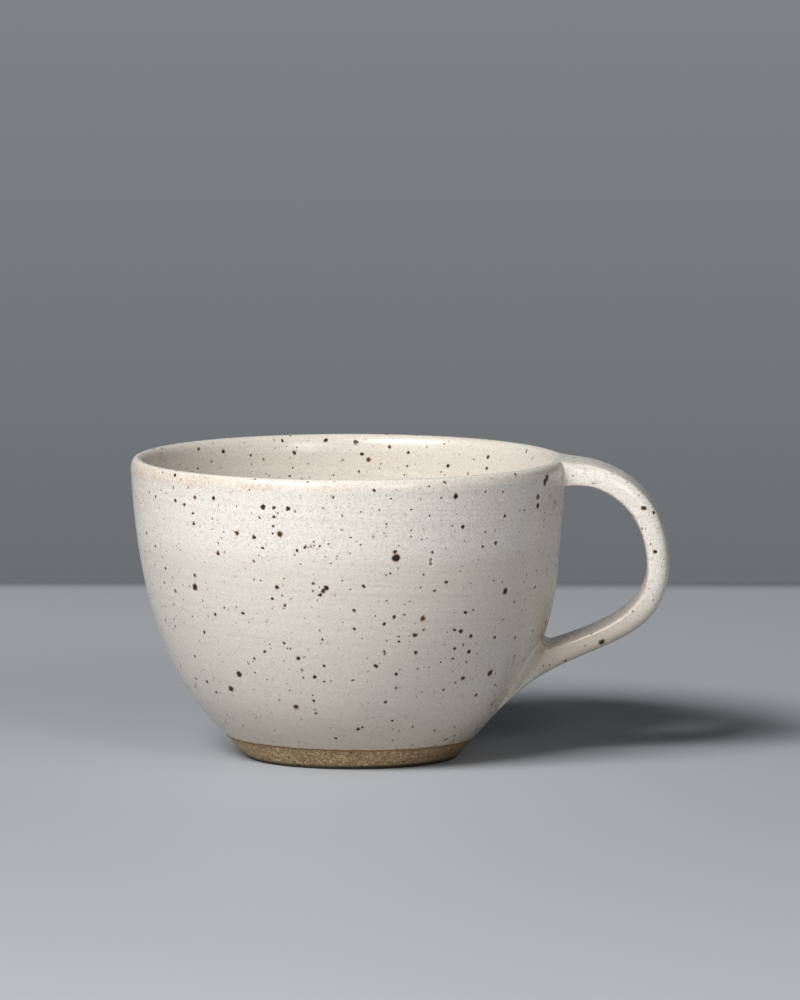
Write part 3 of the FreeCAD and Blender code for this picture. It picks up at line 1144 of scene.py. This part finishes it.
studio = {
    "tableColour": (0.432, 0.455, 0.482),
    # painted light: the table paler towards the back, making up for the lamp's falloff
    "tableFarLit": (0.488, 0.516, 0.547),
    "tableFarLitFade": (0.05, 0.32),
    "tableEdgeShade": (0.222, 0.233, 0.246),      # painted shade, as if its far edge rounded off into the dark
    "tableEdgeShadeDepth": 0.021,
    "tableRoughness": 0.6,
    "tableBack": 0.365,
    "tableFront": -0.7,
    "tableWide": 1.4,
    # painted light: the colours that the backdrop glows in, darker low down
    "backdropLow": (0.144, 0.156, 0.165),
    "backdropHigh": (0.212, 0.223, 0.242),
    "backdropFade": (-0.368, -0.037),        # heights where the lower and the upper colour are reached
    "backdropBack": 3.4,
    "backdropWide": 5,
    "backdropTall": 3,
    "roomLight": (0.95, 0.98, 1),
    "roomStrength": 0.015,
    "lampAim": (0, 0, 0.04),
}


def squareToCamera():
    bpy.ops.object.transform_apply(location=True, rotation=True, scale=True)
    bpy.context.object.rotation_euler.z = radians(camera["azimuth"])
    bpy.ops.object.transform_apply(location=True, rotation=True, scale=True)


def layTable():
    deselectEverything()
    front, back = studio["tableFront"], studio["tableBack"]
    bpy.ops.mesh.primitive_plane_add(size=1, location=(0, (front + back) / 2, 0))
    table = bpy.context.object
    table.name = "table"
    table.scale = (studio["tableWide"], back - front, 1)
    squareToCamera()
    table.data.materials.append(tablePaint())
    upright = (radians(90), 0, 0)
    bpy.ops.mesh.primitive_plane_add(size=1, location=(0, studio["backdropBack"], 0), rotation=upright)
    backdrop = bpy.context.object
    backdrop.name = "backdrop"
    backdrop.scale = (studio["backdropWide"], studio["backdropTall"], 1)
    squareToCamera()
    backdrop.data.materials.append(backdropPaper())


def tablePaint():
    material, tree = newMaterial("tablePaint")
    shader = tree.nodes["Principled BSDF"]
    shader.inputs["Roughness"].default_value = studio["tableRoughness"]
    depth = splitPlace(tree)[1]["Y"]
    # painted light: paler towards the back
    colour = blend(tree, fade(tree, depth, *studio["tableFarLitFade"]), studio["tableColour"], studio["tableFarLit"])
    # painted shade along the far edge
    edge = fade(tree, depth, studio["tableBack"] - studio["tableEdgeShadeDepth"], studio["tableBack"])
    feed(tree, shader.inputs["Base Color"], blend(tree, edge, colour, studio["tableEdgeShade"]))
    return material


def backdropPaper():
    # plain paper that lights the cup as paper does; to the camera and in reflections it glows in painted
    # colours, darker low down
    material, tree = newMaterial("backdropPaper")
    tree.nodes.clear()
    height = splitPlace(tree)[1]["Z"]
    rise = addNode(tree, "MapRange")
    for socket, value in zip(rise.inputs, (height, *studio["backdropFade"])):
        feed(tree, socket, value)
    seen = addNode(tree, "Emission")
    paperGlowColour = blend(tree, rise.outputs[0], studio["backdropLow"], studio["backdropHigh"])
    feed(tree, seen.inputs["Color"], paperGlowColour)
    paper = addNode(tree, "BsdfDiffuse")
    feed(tree, paper.inputs["Color"], studio["backdropHigh"])
    rays = addNode(tree, "LightPath").outputs
    mix = addNode(tree, "MixShader")
    isSeen = calc(tree, "MAXIMUM", rays["Is Camera Ray"], rays["Is Glossy Ray"])
    for socket, value in zip(mix.inputs, (isSeen, paper.outputs[0], seen.outputs[0])):
        feed(tree, socket, value)
    feed(tree, addNode(tree, "OutputMaterial").inputs["Surface"], mix.outputs[0])
    return material


lamps = {
    "window": {"azimuth": 234, "elevation": 42.5, "distance": 2, "width": 1.1, "height": 0.5, "power": 48.5},
    "fill": {"azimuth": 297, "elevation": 26, "distance": 2, "width": 0.5, "height": 0.5, "power": 7.6},
}


def hangLamps():
    for name, lamp in lamps.items():
        turn, rise = radians(lamp["azimuth"]), radians(lamp["elevation"])
        place = Vector((cos(turn) * cos(rise), sin(turn) * cos(rise), sin(rise))) * lamp["distance"]
        aim = (Vector(studio["lampAim"]) - place).to_track_quat("-Z", "Y").to_euler()
        bpy.ops.object.light_add(type="AREA", location=place, rotation=aim)
        light = bpy.context.object
        light.name = name + "Lamp"
        light.data.shape = "RECTANGLE"
        light.data.size = lamp["width"]
        light.data.size_y = lamp["height"]
        light.data.energy = lamp["power"]


def lightRoom():
    # a faint light from all round, seen by the camera as the backdrop's colour
    world = bpy.data.worlds.new("roomLight")
    bpy.context.scene.world = world
    world.use_nodes = True
    tree = world.node_tree
    room = tree.nodes["Background"]
    feed(tree, room.inputs["Color"], studio["roomLight"])
    feed(tree, room.inputs["Strength"], studio["roomStrength"])
    seen = addNode(tree, "Background")
    feed(tree, seen.inputs["Color"], studio["backdropHigh"])
    mix = addNode(tree, "MixShader")
    isSeen = addNode(tree, "LightPath").outputs["Is Camera Ray"]
    for socket, value in zip(mix.inputs, (isSeen, room.outputs[0], seen.outputs[0])):
        feed(tree, socket, value)
    feed(tree, tree.nodes["World Output"].inputs["Surface"], mix.outputs[0])


def setCamera():
    place, turn = cameraStand()
    bpy.ops.object.camera_add(location=place, rotation=turn.to_euler())
    view = bpy.context.object
    view.name = "photoView"
    view.data.sensor_width = camera["sensor"]
    view.data.lens = camera["lens"]
    view.data.clip_end = camera["farthest"]
    bpy.context.scene.camera = view


layTable()
hangLamps()
lightRoom()
setCamera()
bpy.context.scene.view_settings.view_transform = "Standard"
print("studio set")
